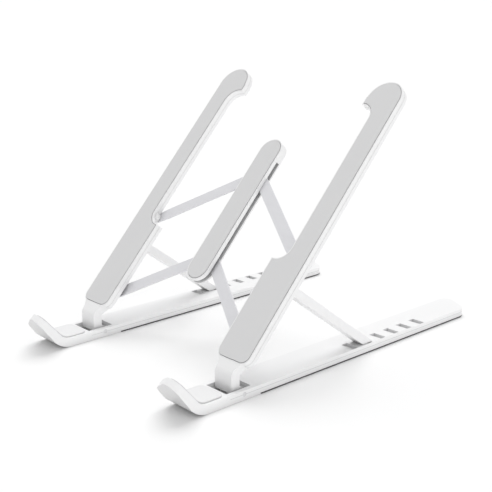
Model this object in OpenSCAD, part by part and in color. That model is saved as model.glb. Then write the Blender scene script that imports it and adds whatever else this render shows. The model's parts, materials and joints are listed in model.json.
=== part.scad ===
// Folding laptop stand. Two flat legs with hooked lips carry two sloping arms; four flat links join
// the arms to a centre bar, and a prop strut holds each arm up from a slot in its leg.
// Frame: +X to the right side, +Y towards the back, +Z up, origin at the centre of the footprint.
// Each side is modelled once; side = 1 is the right side and side = -1 the left side.

/* [Legs] */
// Distance between the centre lines of the two legs
leg_spacing = 131.4; // [128:0.2:135]
// Width of a leg
leg_w = 22.6; // [22:0.1:23.4]
// Height of the leg's deck above the ground
deck_h = 5.6; // [5.4:0.1:5.8]
// Distance from the front edge of the arm's pad back to the end of the tail
tail_y = 207; // [200:0.1:212]
// Distance from the front edge of the arm's pad forward to the start of the hook's bend
bend_y = 24.3; // [23:0.1:26]
// Outer radius of the hook's bend
bend_r = 16; // [14:0.5:18]
// Slope of the hook's tongue
hook_angle = 49.4; // [46:0.1:52]
// Length of the tongue beyond the bend
tongue_l = 19.4; // [18:0.1:24]
// Thickness of the dark rubber sole
sole_t = 0.8; // [0.6:0.1:1]

/* [Slots] */
// Number of slots for the strut in each leg
slot_count = 6; // [3:1:6]
// Distance from one slot to the next
slot_pitch = 12.75; // [12:0.05:13]
// Length of a slot
slot_l = 4.8; // [4.6:0.1:5.2]
// Width of a slot
slot_w = 9.2; // [9:0.1:9.4]
// Distance from the front edge of the arm's pad back to the first slot
first_slot_y = 90; // [88:0.1:92]
// Number of the slot that the strut stands in, counted from 0 at the front
used_slot = 1; // [1:1:1]

/* [Arms] */
// Slope of the arms above the ground
arm_angle = 47.2; // [46.8:0.1:47.6]
// Height of the lower edge of the arm's pad
pad_z = 20.8; // [20.6:0.1:21.2]
// Distance from the middle of the stand to the pad's inner edge
pad_in = 54.2; // [54:0.1:54.4]
// Distance from the middle of the stand to the pad's outer edge
pad_out = 77.6; // [77.4:0.1:77.8]
// Thickness of the silicone pads
pad_t = 1.2; // [1:0.1:1.4]
// Depth of the arm, from the pad's face to its underside
arm_t = 5.9; // [5.8:0.05:5.95]
// White edge that the shell shows round its pad
rim = 0.9; // [0.6:0.1:1]
// Distance up the slope to the start of the notch for the centre bar
notch_start = 61.6; // [61:0.1:62]
// Distance up the slope to the end of the notch
notch_end = 172.1; // [171.8:0.1:173]
// Radius of the notch's ends, which is also its depth
notch_r = 9.95; // [9.9:0.05:10.2]
// Radius of the arm's round head
head_r = 11.4; // [11:0.1:11.6]
// Distance up the slope to the centre of the head
head_s = 176.7; // [176:0.1:178]

/* [Centre bar] */
// Width of the centre bar
bar_w = 17.4; // [17:0.1:17.6]
// Distance up the slope to the bar's lower end
bar_start = 36.3; // [36:0.1:37]
// Distance up the slope to the bar's upper end
bar_end = 140.2; // [139:0.1:140.4]
// Depth of the bar's pad below the face of the arms' pads
bar_drop = 3.1; // [3:0.05:3.3]

/* [Links] */
// Width of a link
link_w = 7.8; // [7.4:0.1:7.8]
// Thickness of a link
link_t = 1.1; // [1:0.05:1.1]
// Slope of the links across the stand
link_angle = 36; // [35.5:0.1:36.5]
// Distance from the middle of the bar to the links' inner pivots
inner_pivot = 4.8; // [4.7:0.1:4.9]
// Distance from the middle of the stand to the links' outer pivots
outer_pivot = 64; // [63.8:0.1:64.2]
// Distance up the slope to the upper pair's inner pivots
upper_pivot_s = 111.5; // [111:0.1:112]
// Distance up the slope to the lower pair's inner pivots
lower_pivot_s = 52; // [51.5:0.1:52.5]

/* [Struts] */
// Width of a strut
strut_w = 8.2; // [8:0.1:8.4]
// Depth of a strut
strut_d = 5.2; // [5:0.1:6]
// Slope of the struts below the horizontal
strut_angle = 36.4; // [36.2:0.1:36.6]
// Distance up the arm to the strut's pivot
strut_pivot_s = 50.1; // [49.9:0.1:50.3]
// Depth of the strut's pivot below the face of the arm's pad
strut_pivot_h = 4; // [3.9:0.1:4.1]

/* [Hinges and pins] */
// Distance of the leg hinge behind the front edge of the arm's pad
hinge_back = 0.2; // [0.1:0.1:0.3]
// Height of the leg hinge
hinge_z = 3.5; // [3.4:0.1:3.6]
// Radius of the leg hinge's pin
hinge_pin_r = 1.25; // [1.1:0.05:1.4]
// Radius of the strut's pin
strut_pin_r = 1.2; // [1:0.05:1.3]
// Radius of the links' pins
link_pin_r = 1.2; // [1:0.05:1.3]
// Running clearance of a pin in its bore
fit = 0.05; // [0.03:0.01:0.08]

/* [Hidden] */
$fn = 64;
white = "white";
pad_grey = [0.83, 0.83, 0.84];
pale_grey = [0.93, 0.93, 0.93];
link_grey = [0.80, 0.80, 0.83];
dark = [0.2, 0.2, 0.21];
steel = [0.7, 0.7, 0.72];

// The tongue's tip: its two corners' radii, where the shoulder lies, and the taper of the underside
tip_corner_r = 6;
tip_shoulder_r = 8;
tip_shoulder_t = 4.6;
tongue_taper = 1.6;
// The tip reaches this far forward of the pad's edge
tip_y = bend_y + bend_r*sin(hook_angle) + tongue_l*cos(hook_angle)
    - tongue_taper*sin(hook_angle)*tongue_l/(tongue_l + 1);
mid_y = (tail_y - tip_y)/2;
leg_x = leg_spacing/2;
// The tail's two corners
tail_corner_r = 4.8;
tail_shoulder_r = 8.7;
tail_shoulder_back = 13.7;

// Small gaps and walls
gap = 0.1;
washer_r = 2.8;
wall = 2;
deck_t = 2;
neck_w = 13.6;
neck_t = 5.8;
neck_front = 5.1;
barrel_r = 2.9;
cutout_w = 16.6;
cutout_front = 10.3;
cutout_back = 7.3;
sole_front = 12;
slot_floor = 3.8;
groove = 0.25;
seam_depth = 0.15;
seam_h = 3.3;
neck_front_r = 5;
// Half widths of the arm's shoulder round the neck, and how far down the slope each lies
shoulder = [[11, -1.6], [9.2, 0.6], [7.9, 2.6], [7.15, 4.4], [6.8, 6]];
hook_pad_t = 0.9;
hook_pad_edge = 1.8;
hook_pad_back = 12.2;
hook_pad_r = 4;
bend_steps = 24;
neck_steps = 8;
reach = 300;
ease = 0.02;

// Heights below the face of the arms' pads of the two layers of links and of the bar's cover
upper_layer = arm_t + gap;
lower_layer = upper_layer + link_t + gap;
cover_top = lower_layer + link_t + gap;
cover_t = 1;
link_l = (outer_pivot - inner_pivot)/cos(link_angle);
link_rise = link_l*sin(link_angle);
arm_end_r = 3.2;
arm_end_taper = 9;
pin_head_r = 2.1;
pin_head_t = 0.5;
bar_closed_l = 14.6;
screw_s = [41.5, 82, 130];
boss_r = [1.5, 2.2, 2.2];
screw_r = 0.8;
screw_head_r = 1.5;

// The strut's channel in the arm's underside
channel_in = 67.2;
channel_out = 76;
strut_x = (channel_in + channel_out)/2;
roof_h = 2.4;
// x, y, width and length of the channel and of the hollows that lighten the arm
arm_hollows = [
    [channel_in, 41, channel_out - channel_in, 96], [channel_in, 5, channel_out - channel_in, 34],
    [pad_in + 1.4, 14, 10, 42], [channel_in - 1, 142, channel_out - channel_in, 38]
];
rivet_boss_r = 2.9;
lip_drop = 0.4;
hinge_y = hinge_back;
strut_top = 1.5;
foot_gap = 0.15;
tooth_l = 1;
tooth_depth = 0.5;

// ---------------------------------------------------------------- frames

// Puts a shape that is placed from the front edge of the pads into the frame of the stand
module stand() translate([0, -mid_y, 0]) children();

// Local frame of the arms: X across, Y up the slope, Z out of the pad's face
module on_slope() stand() translate([0, 0, pad_z]) rotate([arm_angle, 0, 0]) children();

// Mirrors a right-hand shape for the left side
module on_side(side) mirror([side < 0 ? 1 : 0, 0, 0]) children();

// Extrudes a side view, drawn as [back, up], across the width w
module across(w) rotate([90, 0, 90]) linear_extrude(height = w, center = true) children();

// Extrudes a plan drawn on the slope between two depths below the pad's face
module layer(top, bottom) translate([0, 0, -bottom]) linear_extrude(height = bottom - top) children();

// ---------------------------------------------------------------- plans

// Slot shape of width 2r from y0 to y1, with round ends
module stadium(r, y0, y1) {
    translate([0, y0 + r]) circle(r);
    translate([0, y1 - r]) circle(r);
    translate([-r, y0 + r]) square([2*r, y1 - y0 - 2*r]);
}

// Plan of the arm, grown by g beyond the pad's own edge
module arm_plan(g) {
    r = 4.8 + g;
    difference() {
        union() {
            translate([pad_in - g + r, r - g]) circle(r);
            translate([pad_out + g - r, r - g]) circle(r);
            translate([pad_in - g + r, -g]) square([pad_out - pad_in + 2*g - 2*r, r + 1]);
            translate([pad_in - g, r - g]) square([pad_out - pad_in + 2*g, head_s - r + g]);
            translate([pad_out - head_r, head_s]) circle(head_r + g);
        }
        translate([pad_in, 0]) stadium(notch_r - g, notch_start + g, notch_end - g);
    }
}

// Plan of a leg's round tail, carried forward past the hook; ease widens it a little
module leg_plan(ease = 0) hull() {
    translate([-leg_w/2 + tail_corner_r - ease, tail_y - tail_corner_r])
        circle(tail_corner_r, $fn = 32);
    translate([leg_w/2 - tail_shoulder_r + ease, tail_y - tail_shoulder_back])
        circle(tail_shoulder_r, $fn = 64);
    translate([-leg_w/2 - ease, -reach]) square([leg_w + 2*ease, 1]);
}

// Plan of the hook's tongue, y measured up the tongue from the end of the bend, carried back past the tail
module tongue_plan(inset, ease) hull() {
    translate([-leg_w/2 + tip_shoulder_r - ease, tip_shoulder_t])
        circle(tip_shoulder_r - inset, $fn = 32);
    translate([leg_w/2 - tip_corner_r + ease, tongue_l - tip_corner_r])
        circle(tip_corner_r - inset, $fn = 32);
    translate([-leg_w/2 + inset - ease, -2*reach]) square([leg_w - 2*inset + 2*ease, 1]);
}

// Points round the hook's bend at radius r, from angle a to angle b
function bend_arc(r, a, b) = [for (i = [0:bend_steps])
    [-bend_y, bend_r] + r*[cos(a + (b - a)*i/bend_steps), sin(a + (b - a)*i/bend_steps)]];

// Side view of the deck, bend and tongue between two surfaces of the leg, from its back end at y = end
// taper is the thickness that the tongue loses from its underside towards the tip
module hook_side(low, high, end, taper) {
    down = -90;
    along = down - hook_angle;
    up = (tongue_l + 1)*[-cos(hook_angle), sin(hook_angle)];
    inward = taper*[sin(hook_angle), cos(hook_angle)];
    outer = bend_arc(bend_r - low, down, along);
    inner = bend_arc(bend_r - high, along, down);
    polygon(concat(
        [[end, low]], outer, [outer[bend_steps] + up + inward, inner[0] + up], inner, [[end, high]]
    ));
}

// Frame of the tongue: X across, Y up the tongue, Z out of its underside
module on_tongue() translate([0, -bend_y - bend_r*sin(hook_angle), bend_r*(1 - cos(hook_angle))])
    rotate([180 - hook_angle, 0, 0]) children();

// ---------------------------------------------------------------- legs

module leg_body(side) {
    slot_x = side*(strut_x - leg_x);
    difference() {
        intersection() {
            across(leg_w) hook_side(0, deck_h, tail_y + 1, tongue_taper);
            translate([0, 0, -1]) linear_extrude(height = reach) leg_plan(ease);
            on_tongue() translate([0, 0, -reach]) linear_extrude(height = 2*reach) tongue_plan(0, ease);
        }
        // room for the sole, and the hollow above it
        translate([-leg_w, sole_front, -1]) cube([2*leg_w, tail_y, sole_t + 1]);
        translate([-leg_w/2 + wall, sole_front + wall, 0])
            cube([leg_w - 2*wall, first_slot_y - slot_l - sole_front - 2*wall, deck_h - deck_t]);
        // opening that the arm's neck stands in
        translate([-cutout_w/2, hinge_y - cutout_front, -1])
            cube([cutout_w, cutout_front + cutout_back, deck_h + 2]);
        for (i = [0:slot_count - 1])
            translate([slot_x - slot_w/2, first_slot_y + i*slot_pitch - slot_l/2, slot_floor])
                cube([slot_w, slot_l, deck_h]);
        translate([0, hinge_y, hinge_z]) rotate([0, 90, 0])
            cylinder(r = hinge_pin_r + fit/2, h = leg_w + 2, center = true);
    }
}

module leg(side) color(white) stand() translate([side*leg_x, 0, 0]) leg_body(side);

module sole(side) color(dark) stand() translate([side*leg_x, 0, 0])
    linear_extrude(height = sole_t) intersection() {
        leg_plan();
        translate([-leg_w, sole_front + gap]) square([2*leg_w, tail_y]);
    }

// Silicone pad on the deck's front and up the inside of the hook
module hook_pad(side) {
    w = leg_w - 2*hook_pad_edge;
    color(pale_grey) stand() translate([side*leg_x, 0, 0]) intersection() {
        across(w) hook_side(deck_h, deck_h + hook_pad_t, 0, 0);
        on_tongue() translate([0, 0, -reach]) linear_extrude(height = 2*reach)
            tongue_plan(hook_pad_edge, ease);
        translate([0, 0, -1]) linear_extrude(height = reach) hull() {
            for (x = [-w/2 + hook_pad_r - ease, w/2 - hook_pad_r + ease])
                translate([x, -hook_pad_back - hook_pad_r]) circle(hook_pad_r, $fn = 32);
            translate([-w/2 - ease, -reach]) square([w + 2*ease, 1]);
        }
    }
}

module hinge_pin(side) color(steel) stand() translate([side*leg_x, hinge_y, hinge_z])
    rotate([0, 90, 0]) cylinder(r = hinge_pin_r, h = leg_w - gap, center = true);

// ---------------------------------------------------------------- arms

// Side view of the neck that carries the arm down to the hinge
module neck_profile() {
    slope = tan(arm_angle);
    under_y = arm_t*sin(arm_angle);
    under_z = pad_z - arm_t*cos(arm_angle);
    back = neck_t - neck_front;
    top = pad_z - lip_drop/cos(arm_angle);
    bend = [-neck_front, top - neck_front*slope] + neck_front_r*[1, slope - 1/cos(arm_angle)];
    polygon(concat(
        [[-neck_front, hinge_z]],
        [for (i = [0:neck_steps]) let (a = 180 - (90 - arm_angle)*i/neck_steps)
            bend + neck_front_r*[cos(a), sin(a)]],
        [[1, top + slope], [under_y + 1, under_z + slope],
            [back, under_z - (under_y - back)*slope], [back, hinge_z]]
    ));
    translate([hinge_y, hinge_z]) circle(barrel_r);
    polygon([[-neck_front, hinge_z], [hinge_y, hinge_z - barrel_r], [back, hinge_z]]);
}

module arm_shell(side) color(white) on_side(side) {
    difference() {
        union() {
            on_slope() {
                difference() {
                    layer(lip_drop, arm_t) arm_plan(rim);
                    // seam between the shell's halves
                    layer(seam_h - seam_depth, seam_h + seam_depth) difference() {
                        arm_plan(rim + 1);
                        arm_plan(rim - seam_depth);
                    }
                    // strut channel, and hollows that lighten the underside
                    for (hollow = arm_hollows) layer(roof_h, arm_t + 1)
                        translate([hollow[0], hollow[1]]) square([hollow[2], hollow[3]]);
                }
                layer(roof_h, arm_t) translate([outer_pivot, upper_pivot_s - link_rise])
                    circle(rivet_boss_r);
                layer(lip_drop, arm_t) translate([leg_x, 0]) polygon(concat(
                    [for (p = shoulder) [-p[0], -p[1]]],
                    [for (i = [len(shoulder) - 1:-1:0]) [shoulder[i][0], -shoulder[i][1]]]
                ));
            }
            stand() translate([leg_x, 0, 0]) across(neck_w) neck_profile();
        }
        // seat of the pad
        on_slope() layer(-1, pad_t) arm_plan(groove);
        // bores of the pins
        stand() translate([leg_x, hinge_y, hinge_z]) rotate([0, 90, 0])
            cylinder(r = hinge_pin_r + fit, h = leg_w, center = true);
        on_slope() translate([channel_in - 1.6, strut_pivot_s, -strut_pivot_h]) rotate([0, 90, 0])
            cylinder(r = strut_pin_r + fit/2, h = 11.8);
        on_slope() for (s = [upper_pivot_s, lower_pivot_s])
            translate([outer_pivot, s - link_rise, -arm_t - 1])
                cylinder(r = link_pin_r + fit/2, h = arm_t + 1 - roof_h);
    }
}

module arm_pad(side) color(pad_grey) on_side(side) on_slope() layer(0, pad_t) arm_plan(0);

module strut_pin(side) color(steel) on_side(side) on_slope()
    translate([channel_in - 1.5, strut_pivot_s, -strut_pivot_h]) rotate([0, 90, 0])
        cylinder(r = strut_pin_r, h = 11.6);

// Rivets that hold the outer ends of a side's two links, with heads flush in the links
module link_rivets(side) color(steel) on_side(side) on_slope() {
    rivet(upper_pivot_s - link_rise, upper_layer + link_t);
    rivet(lower_pivot_s - link_rise, lower_layer + link_t);
}

module rivet(s, bottom) translate([outer_pivot, s, -bottom]) {
    cylinder(r = link_pin_r, h = bottom - roof_h - gap);
    cylinder(r = pin_head_r, h = pin_head_t);
}

// Washer that fills the upper layer under the lower link's outer end
module link_washer(side) color(steel) on_side(side) on_slope()
    layer(arm_t + gap/2, lower_layer - gap/2)
        translate([outer_pivot, lower_pivot_s - link_rise]) difference() {
            circle(washer_r);
            circle(link_pin_r + fit/2);
        }

// ---------------------------------------------------------------- struts

// Side view of the strut, drawn as [back, up] from the front edge of the pads
module strut_profile() {
    c = cos(arm_angle);
    s = sin(arm_angle);
    pivot = [strut_pivot_s*c + strut_pivot_h*s, pad_z + strut_pivot_s*s - strut_pivot_h*c];
    foot_y = first_slot_y + used_slot*slot_pitch - slot_l/2 + foot_gap;
    difference() {
        translate(pivot) rotate(-strut_angle) {
            translate([0, strut_top - strut_d]) square([100, strut_d]);
            circle(strut_top);
        }
        translate([0, -100 + deck_h + foot_gap]) square([200, 100]);
    }
    translate([foot_y, deck_h - tooth_depth]) square([tooth_l, tooth_depth + 1]);
}

module strut(side) color(white) on_side(side) difference() {
    stand() translate([strut_x, 0, 0]) across(strut_w) strut_profile();
    on_slope() translate([strut_x, strut_pivot_s, -strut_pivot_h]) rotate([0, 90, 0])
        cylinder(r = strut_pin_r + fit, h = strut_w + 2, center = true);
}

// ---------------------------------------------------------------- links

// A flat link from its inner pivot at [inner_pivot, s], in the layer that starts at depth top;
// each end has a bore, and a recess that takes the pin's head
module link(side, s, top, inner_recess_up) color(link_grey) on_side(side) on_slope()
    translate([inner_pivot, s, -top - link_t]) rotate([0, 0, -link_angle]) difference() {
        linear_extrude(height = link_t) hull() {
            circle(link_w/2, $fn = 32);
            translate([link_l - arm_end_taper, 0]) circle(link_w/2, $fn = 32);
            translate([link_l, 0]) circle(arm_end_r, $fn = 32);
        }
        translate([0, 0, -1]) cylinder(r = link_pin_r + fit, h = link_t + 2);
        translate([link_l, 0, -1]) cylinder(r = link_pin_r + fit, h = link_t + 2);
        translate([link_l, 0, -1]) cylinder(r = pin_head_r + gap, h = 1 + pin_head_t + fit);
        if (inner_recess_up)
            translate([0, 0, link_t - pin_head_t - fit]) cylinder(r = pin_head_r + gap, h = 1);
    }

module upper_link(side) link(side, upper_pivot_s, upper_layer, false);
module lower_link(side) link(side, lower_pivot_s, lower_layer, true);

// ---------------------------------------------------------------- centre bar

module bar_plan(g) stadium(bar_w/2 + g, bar_start - g, bar_end + g);

module bar_shell() color(white) on_slope() difference() {
    union() {
        layer(bar_drop + lip_drop, arm_t) bar_plan(0);
        layer(arm_t - gap, cover_top) intersection() {
            bar_plan(0);
            translate([-bar_w, bar_end - bar_closed_l]) square([2*bar_w, bar_closed_l + 1]);
        }
        for (i = [0, 1]) layer(arm_t - gap, cover_top) translate([0, screw_s[i]]) circle(boss_r[i]);
    }
    layer(0, bar_drop + pad_t) bar_plan(groove - rim);
    for (s = screw_s) translate([0, s, -cover_top - 1]) cylinder(r = screw_r + fit/2, h = 5);
    for (x = [-inner_pivot, inner_pivot]) translate([x, upper_pivot_s, -cover_top])
        cylinder(r = link_pin_r + fit/2, h = cover_top - arm_t + 1);
}

module bar_pad() color(pad_grey) on_slope() layer(bar_drop, bar_drop + pad_t) bar_plan(-rim);

module bar_cover() color(white) on_slope() difference() {
    layer(cover_top, cover_top + cover_t) bar_plan(0);
    for (s = screw_s) translate([0, s, -cover_top - cover_t - 1]) {
        cylinder(r = screw_r + fit, h = cover_t + 2);
        cylinder(r = screw_head_r + fit, h = 1.5);
    }
    for (x = [-inner_pivot, inner_pivot]) for (s = [lower_pivot_s, upper_pivot_s])
        translate([x, s, -cover_top - cover_t - 1]) cylinder(r = link_pin_r + fit/2, h = cover_t + 2);
}

// Pins through the bar that carry the inner ends of the upper links
module bar_upper_pins() color(steel) on_slope() for (x = [-inner_pivot, inner_pivot])
    translate([x, upper_pivot_s, -cover_top - cover_t])
        cylinder(r = link_pin_r, h = cover_top + cover_t - arm_t + 0.9);

// Headed pins from the cover that carry the inner ends of the lower links
module bar_lower_pins() color(steel) on_slope() for (x = [-inner_pivot, inner_pivot])
    translate([x, lower_pivot_s, 0]) {
        translate([0, 0, -cover_top - cover_t]) cylinder(r = link_pin_r, h = cover_t + link_t + gap);
        translate([0, 0, -lower_layer - pin_head_t]) cylinder(r = pin_head_r, h = pin_head_t);
    }

// Washers that fill the lower layer under the upper links' inner ends
module bar_washers() color(steel) on_slope() for (x = [-inner_pivot, inner_pivot])
    layer(lower_layer - gap/2, cover_top - gap/2) translate([x, upper_pivot_s]) difference() {
        circle(washer_r);
        circle(link_pin_r + fit/2);
    }

module bar_screws() color(steel) on_slope() for (s = screw_s)
    translate([0, s, -cover_top - cover_t]) {
        cylinder(r = screw_r, h = cover_t + 3);
        cylinder(r = screw_head_r, h = 0.5);
    }

leg(-1);  // left_leg
sole(-1);  // left_sole
hook_pad(-1);  // left_hook_pad
hinge_pin(-1);  // left_hinge_pin
arm_shell(-1);  // left_arm_shell
arm_pad(-1);  // left_arm_pad
strut(-1);  // left_strut
strut_pin(-1);  // left_strut_pin
upper_link(-1);  // left_upper_link
lower_link(-1);  // left_lower_link
link_rivets(-1);  // left_link_rivets
link_washer(-1);  // left_link_washer
leg(1);  // right_leg
sole(1);  // right_sole
hook_pad(1);  // right_hook_pad
hinge_pin(1);  // right_hinge_pin
arm_shell(1);  // right_arm_shell
arm_pad(1);  // right_arm_pad
strut(1);  // right_strut
strut_pin(1);  // right_strut_pin
upper_link(1);  // right_upper_link
lower_link(1);  // right_lower_link
link_rivets(1);  // right_link_rivets
link_washer(1);  // right_link_washer
bar_shell();
bar_pad();
bar_cover();
bar_upper_pins();
bar_lower_pins();
bar_washers();
bar_screws();
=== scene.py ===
import json
import math

import bmesh
import bpy
from mathutils import Matrix, Vector


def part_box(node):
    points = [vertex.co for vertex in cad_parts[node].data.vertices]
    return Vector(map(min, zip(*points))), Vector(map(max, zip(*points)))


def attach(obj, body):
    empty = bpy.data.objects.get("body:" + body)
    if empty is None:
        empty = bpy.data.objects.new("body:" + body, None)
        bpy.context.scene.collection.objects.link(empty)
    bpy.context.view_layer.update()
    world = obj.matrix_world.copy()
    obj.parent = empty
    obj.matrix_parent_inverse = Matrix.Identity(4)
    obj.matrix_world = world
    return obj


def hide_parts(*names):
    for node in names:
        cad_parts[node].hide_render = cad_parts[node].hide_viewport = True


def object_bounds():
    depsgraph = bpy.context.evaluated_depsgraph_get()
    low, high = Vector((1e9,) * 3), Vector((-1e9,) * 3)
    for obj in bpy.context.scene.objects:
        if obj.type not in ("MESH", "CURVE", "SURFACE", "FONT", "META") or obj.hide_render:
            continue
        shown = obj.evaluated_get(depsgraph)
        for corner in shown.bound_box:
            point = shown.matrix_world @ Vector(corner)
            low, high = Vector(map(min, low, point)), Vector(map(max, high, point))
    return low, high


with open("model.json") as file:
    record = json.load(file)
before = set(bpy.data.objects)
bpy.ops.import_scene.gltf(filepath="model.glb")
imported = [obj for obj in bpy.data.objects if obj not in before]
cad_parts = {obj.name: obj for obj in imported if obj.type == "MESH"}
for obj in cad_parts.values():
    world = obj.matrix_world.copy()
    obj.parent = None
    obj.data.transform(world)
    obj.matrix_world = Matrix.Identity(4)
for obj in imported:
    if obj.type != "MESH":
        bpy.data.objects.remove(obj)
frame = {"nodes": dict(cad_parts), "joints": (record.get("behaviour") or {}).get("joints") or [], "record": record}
cad_lo, cad_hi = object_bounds()
MM = 0.001

# ------------------------------------------------------------------ sizes taken from the frame
# the normal of the pads' face
joints = {j["name"]: j for j in frame["joints"]}
OUT = Vector(joints["side_fold"]["axis"]).normalized()

PAD_T = 1.2 * MM
ARM_T = 5.9 * MM
LIP_DROP = 0.4 * MM
pad_lo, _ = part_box("right_arm_pad")
# the middle of the stand at the lower edge of the pads' face
FOOT = Vector((0, pad_lo.y, pad_lo.z + PAD_T * OUT.z))

leg_lo, leg_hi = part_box("right_leg")
LEG_X = (leg_lo.x + leg_hi.x) / 2
# lengths of a leg: the hook, the seam's and the sole's start behind the hook's tip, the tail's end
HOOK_L = 36 * MM
SEAM_START = 38 * MM
SOLE_START = 40 * MM
TAIL_END_L = 16 * MM


# ------------------------------------------------------------------ materials
def new_material(name):
    m = bpy.data.materials.new(name)
    m.use_nodes = True
    return m, m.node_tree.nodes["Principled BSDF"]


def calc(tree, operation, a, b=0.0):
    """The result of a math node. a and b are each a socket or a number."""
    m = tree.nodes.new("ShaderNodeMath")
    m.operation = operation
    for i, v in enumerate((a, b)):
        if isinstance(v, (int, float)):
            m.inputs[i].default_value = v
        else:
            tree.links.new(v, m.inputs[i])
    return m.outputs["Value"]


def remap(tree, socket, to_min, to_max, from_min=0.0, from_max=1.0):
    """The socket's value, carried from one range to another."""
    m = tree.nodes.new("ShaderNodeMapRange")
    m.inputs["From Min"].default_value = from_min
    m.inputs["From Max"].default_value = from_max
    m.inputs["To Min"].default_value = to_min
    m.inputs["To Max"].default_value = to_max
    tree.links.new(socket, m.inputs["Value"])
    return m.outputs["Result"]


def axes(tree, socket):
    """The three parts of a vector."""
    m = tree.nodes.new("ShaderNodeSeparateXYZ")
    tree.links.new(socket, m.inputs["Vector"])
    return m.outputs


def painted_corner_shade(tree):
    """Painted shade: a darker tone in narrow gaps and corners, where shade falls."""
    reach = 8 * MM
    darkest = 0.62
    shut, clear = 0.1, 0.85
    corner = tree.nodes.new("ShaderNodeAmbientOcclusion")
    corner.samples = 8
    corner.inputs["Distance"].default_value = reach
    return remap(tree, corner.outputs["AO"], darkest, 1.0, shut, clear)


def seam(tree, coord):
    """A tone with a faint line round the side of a leg, where its mould closed."""
    height = 3.4 * MM
    half_width = 0.13 * MM
    steep = 0.4
    line_tone = 0.72
    spot = axes(tree, coord.outputs["Object"])
    face = axes(tree, coord.outputs["Normal"])
    off = calc(tree, "ABSOLUTE", calc(tree, "SUBTRACT", spot["Z"], height))
    line = calc(tree, "LESS_THAN", off, half_width)
    behind = calc(tree, "GREATER_THAN", spot["Y"], cad_lo.y + SEAM_START)
    upright = calc(tree, "LESS_THAN", calc(tree, "ABSOLUTE", face["Z"]), steep)
    line = calc(tree, "MULTIPLY", line, behind)
    line = calc(tree, "MULTIPLY", line, upright)
    return remap(tree, line, 1.0, line_tone)


def painted_underside_shade(tree, coord):
    """Painted shade: a tone that makes the hook's underside, and the leg's other faces turned down, greyer than
    its sides.
    """
    greyest = 0.78
    down, sideways = -0.5, -0.3
    face = axes(tree, coord.outputs["Normal"])
    return remap(tree, face["Z"], greyest, 1.0, down, sideways)


def noise(tree, mapping, scale, detail):
    """A noise of that scale and detail, from 0 to 1."""
    t = tree.nodes.new("ShaderNodeTexNoise")
    t.inputs["Scale"].default_value = scale
    t.inputs["Detail"].default_value = detail
    tree.links.new(mapping.outputs["Vector"], t.inputs["Vector"])
    return t.outputs["Fac"]


def grained(name, colour, rough, grain, depth, mottling, metal=0.0, stretch=(1, 1, 1),
            is_leg=False):
    """A finish with a fine surface grain, a slight change of tone, painted shade in gaps and corners and a
    changing gloss; a leg's finish also has a seam line and painted shade on faces turned down.
    """
    mottle_scale = 38.0
    gloss_change = 0.05
    bump_height = 0.05 * MM
    m, bsdf = new_material(name)
    tree = m.node_tree
    nodes, links = tree.nodes, tree.links
    bsdf.inputs["Metallic"].default_value = metal
    coord = nodes.new("ShaderNodeTexCoord")
    mapping = nodes.new("ShaderNodeMapping")
    mapping.inputs["Scale"].default_value = stretch
    links.new(coord.outputs["Object"], mapping.inputs["Vector"])
    fine = noise(tree, mapping, grain, 3.0)
    broad = noise(tree, mapping, mottle_scale, 4.0)

    # random mottling times painted shade in gaps and corners
    tone_and_painted_shade = calc(tree, "MULTIPLY", remap(tree, broad, 1 - mottling, 1.0), painted_corner_shade(tree))
    if is_leg:
        # a leg also gets its mould seam line and painted shade on faces turned down
        tone_and_painted_shade = calc(tree, "MULTIPLY", tone_and_painted_shade, seam(tree, coord))
        tone_and_painted_shade = calc(tree, "MULTIPLY", tone_and_painted_shade, painted_underside_shade(tree, coord))
    tint = nodes.new("ShaderNodeVectorMath")
    tint.operation = "SCALE"
    tint.inputs[0].default_value = colour
    links.new(tone_and_painted_shade, tint.inputs["Scale"])
    links.new(tint.outputs["Vector"], bsdf.inputs["Base Color"])

    gloss = remap(tree, broad, rough - gloss_change, rough + gloss_change)
    links.new(gloss, bsdf.inputs["Roughness"])
    bump = nodes.new("ShaderNodeBump")
    bump.inputs["Strength"].default_value = depth
    bump.inputs["Distance"].default_value = bump_height
    links.new(fine, bump.inputs["Height"])
    links.new(bump.outputs["Normal"], bsdf.inputs["Normal"])
    return m


WHITE = (0.90, 0.90, 0.903)
white = grained("satin_white_plastic", WHITE, 0.38, 2600, 0.12, 0.012)
# the leg's copy of the white finish, with a mould seam line and painted shade on faces turned down
leg_white = grained("satin_white_leg", WHITE, 0.38, 2600, 0.12, 0.012, is_leg=True)
pad_grey = grained("grey_silicone", (0.69, 0.69, 0.694), 0.72, 1900, 0.35, 0.02)
hook_grey = grained("pale_silicone", (0.80, 0.80, 0.805), 0.70, 1900, 0.3, 0.02)
rubber = grained("dark_rubber", (0.035, 0.035, 0.037), 0.75, 1500, 0.5, 0.2)
metal = grained("satin_aluminium", (0.80, 0.80, 0.825), 0.45, 1500, 0.2, 0.05, 0.2, (1, 9, 9))
steel = grained("turned_steel", (0.80, 0.80, 0.81), 0.42, 2400, 0.15, 0.08, 0.3)
SLOTS = {
    "white_shell": white, "pad_silicone": pad_grey, "hook_silicone": hook_grey,
    "sole_rubber": rubber, "link_metal": metal, "pin_steel": steel,
}


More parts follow.
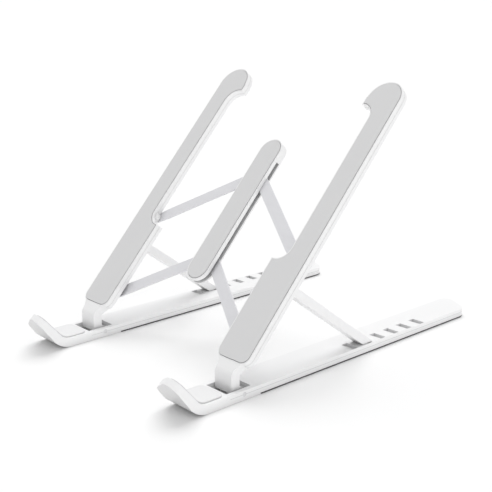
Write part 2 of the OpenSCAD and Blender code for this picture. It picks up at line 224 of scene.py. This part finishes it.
# ------------------------------------------------------------------ pieces
def rounded(node, width, steps, weights):
    """A piece with the shape of a CAD node and rounded edges. weights gives an edge's share of width."""
    weld = 0.002 * MM
    flat = math.radians(0.6)
    sharp = math.radians(35)
    mesh = bpy.data.meshes.new(node + "_piece")
    bm = bmesh.new()
    bm.from_mesh(frame["nodes"][node].data)
    bmesh.ops.remove_doubles(bm, verts=bm.verts, dist=weld)
    bmesh.ops.dissolve_degenerate(bm, edges=bm.edges, dist=weld)
    bmesh.ops.dissolve_limit(bm, angle_limit=flat, verts=bm.verts, edges=bm.edges,
                             delimit={"NORMAL"})
    layer = bm.edges.layers.float.new("bevel_weight_edge")
    for e in bm.edges:
        if len(e.link_faces) == 2 and e.calc_face_angle(0) > sharp:
            e[layer] = weights(e)
    bm.to_mesh(mesh)
    bm.free()
    mesh.polygons.foreach_set("use_smooth", [True] * len(mesh.polygons))
    piece = bpy.data.objects.new(node + "_piece", mesh)
    bpy.context.scene.collection.objects.link(piece)
    bevel = piece.modifiers.new("round", "BEVEL")
    bevel.limit_method = "WEIGHT"
    bevel.width = width * MM
    bevel.segments = steps
    bevel.use_clamp_overlap = True
    bevel.harden_normals = False
    normal = piece.modifiers.new("normals", "WEIGHTED_NORMAL")
    normal.keep_sharp = True
    normal.weight = 80
    return piece


def even_weights(e):
    """Every edge is rounded alike."""
    return 1.0


def shell_weights(e):
    """The arm's rim and underside edge are rounded, and its small steps and hollows almost sharp."""
    near = 0.05 * MM
    almost_sharp = 0.3
    heights = [(v.co - FOOT).dot(OUT) for v in e.verts]
    for level in (-ARM_T, -LIP_DROP):
        if all(abs(h - level) < near for h in heights):
            return 1.0
    return almost_sharp


def leg_weights(e):
    """The leg's outline is well rounded, and its openings and the sole's step almost sharp."""
    inner_half = 10.9 * MM
    step_top = 1.0 * MM
    opening_share = 0.12
    step_share = 0.15
    a, b = e.verts[0].co, e.verts[1].co
    middle = (a + b) / 2
    inside = abs(abs(middle.x) - LEG_X) < inner_half
    at_an_end = middle.y < cad_lo.y + HOOK_L or middle.y > cad_hi.y - TAIL_END_L
    if inside and not at_an_end:
        return opening_share
    if max(a.z, b.z) < step_top and middle.y > cad_lo.y + SOLE_START:
        return step_share
    return 1.0


def place(piece, node, body, finish):
    """Puts the piece on its body, in the place of its CAD node."""
    piece.data.materials.append(finish)
    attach(piece, body)
    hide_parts(node)


def kind(node):
    """The node's name without its side."""
    return node.removeprefix("left_").removeprefix("right_")


# each kind's rounding in mm and its number of steps; pins, screws and washers have the small one
ROUNDING = {
    "leg": (1.2, 5), "arm_shell": (0.3, 3), "strut": (0.5, 3), "bar_shell": (0.5, 3),
    "bar_cover": (0.25, 3), "arm_pad": (0.12, 3), "bar_pad": (0.12, 3), "hook_pad": (0.25, 3),
    "sole": (0.2, 3), "upper_link": (0.18, 3), "lower_link": (0.18, 3),
}
SMALL = (0.1, 2)
WEIGHTS = {"arm_shell": shell_weights, "leg": leg_weights}
FINISHES = {"leg": leg_white}

slot_of = {s["node"]: s["material_slot"] for s in frame["record"]["subparts"]}
body_of = {n: b for b, ns in frame["record"]["behaviour"]["bodies"].items() for n in ns}
for node, slot in slot_of.items():
    k = kind(node)
    width, steps = ROUNDING.get(k, SMALL)
    piece = rounded(node, width, steps, WEIGHTS.get(k, even_weights))
    place(piece, node, body_of[node], FINISHES.get(k, SLOTS[slot]))


# ------------------------------------------------------------------ floor
def make_floor():
    """A pale floor just under the stand that reaches past the view on every side."""
    half_size = 40
    drop = 0.1 * MM
    paper, bsdf = new_material("paper")
    bsdf.inputs["Base Color"].default_value = (0.95, 0.95, 0.95, 1)
    bsdf.inputs["Roughness"].default_value = 0.9
    mesh = bpy.data.meshes.new("floor")
    bm = bmesh.new()
    bmesh.ops.create_grid(bm, x_segments=1, y_segments=1, size=half_size)
    bm.to_mesh(mesh)
    bm.free()
    floor = bpy.data.objects.new("floor", mesh)
    floor.location = (0, 0, cad_lo.z - drop)
    floor.data.materials.append(paper)
    bpy.context.scene.collection.objects.link(floor)


# ------------------------------------------------------------------ light
def make_sky():
    """White light from all round, strongest near the horizon."""
    at_horizon, overhead = 0.97, 0.56
    height_of_top = 0.35
    world = bpy.data.worlds.new("studio")
    world.use_nodes = True
    bpy.context.scene.world = world
    tree = world.node_tree
    background = tree.nodes["Background"]
    background.inputs["Color"].default_value = (1, 1, 1, 1)
    direction = tree.nodes.new("ShaderNodeTexCoord")
    height = axes(tree, direction.outputs["Generated"])["Z"]
    strength = remap(tree, height, at_horizon, overhead, 0.0, height_of_top)
    tree.links.new(strength, background.inputs["Strength"])


def sun(name, towards, angle, power):
    """A soft distant light that comes from that direction."""
    data = bpy.data.lights.new(name, "SUN")
    data.angle = math.radians(angle)
    data.energy = power
    o = bpy.data.objects.new(name, data)
    o.rotation_euler = Vector(towards).to_track_quat("Z", "Y").to_euler()
    bpy.context.scene.collection.objects.link(o)


# ------------------------------------------------------------------ camera
def make_camera(eye, azimuth, elevation, roll, lens):
    """A camera at eye that looks along azimuth and down by elevation, with angles in degrees."""
    data = bpy.data.cameras.new("camera")
    data.sensor_width = 36
    data.lens = lens
    data.clip_start = 0.01
    cam = bpy.data.objects.new("camera", data)
    cam.matrix_world = (Matrix.Translation(eye)
                        @ Matrix.Rotation(math.radians(azimuth), 4, "Z")
                        @ Matrix.Rotation(math.radians(90 - elevation), 4, "X")
                        @ Matrix.Rotation(math.radians(roll), 4, "Z"))
    bpy.context.scene.collection.objects.link(cam)
    bpy.context.scene.camera = cam


make_floor()
make_sky()
sun("key", (-0.35, 0.30, 0.9), 55, 1.5)
sun("side", (0.9, -0.25, 0.4), 60, 0.6)
make_camera(eye=FOOT + Vector((0.4248, -0.3129, 0.1925)), azimuth=47.86, elevation=15.26, roll=-0.3,
            lens=69.36)
bpy.context.scene.view_settings.view_transform = "Standard"
